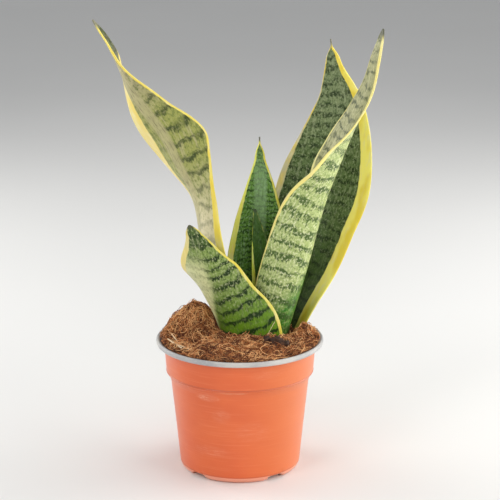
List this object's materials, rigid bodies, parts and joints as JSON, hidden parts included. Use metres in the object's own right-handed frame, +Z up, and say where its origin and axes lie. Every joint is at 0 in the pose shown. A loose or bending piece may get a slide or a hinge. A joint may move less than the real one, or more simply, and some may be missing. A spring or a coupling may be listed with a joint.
{
  "type": "potted snake plant",
  "caption": "Snake plant with broad upright yellow-edged banded leaves growing from coir in a round tapered nursery pot with a rolled rim.",
  "frame": {"origin": "centre of the pot's base, on the surface it stands on", "axes": "+Z up, +X to the right and +Y to the back as seen from the plant's front"},
  "size_m": [0.2032, 0.12, 0.3207],
  "materials": {
    "pot": "thin formed plastic, terracotta orange outside and on the inner layer grey, satin",
    "soil": "loose reddish-brown coir fibre, matte",
    "rhizome": "fleshy underground stem, matte",
    "leaf_front_short": "smooth waxy leaf, banded green with a yellow margin",
    "leaf_right_front": "smooth waxy leaf, banded green with a yellow margin",
    "leaf_right_back": "smooth waxy leaf, banded green with a yellow margin",
    "leaf_left_tall": "smooth waxy leaf, banded green with a yellow margin",
    "leaf_centre": "smooth waxy leaf, banded green with a yellow margin",
    "leaf_spear": "smooth waxy leaf, banded green with a yellow margin"
  },
  "bodies": {
    "root": {"pot": "pot", "soil": "soil", "rhizome": "rhizome", "leaf_front_short": "leaf_front_short", "leaf_right_front": "leaf_right_front", "leaf_right_back": "leaf_right_back", "leaf_left_tall": "leaf_left_tall", "leaf_centre": "leaf_centre", "leaf_spear": "leaf_spear"}
  },
  "joints": []
}
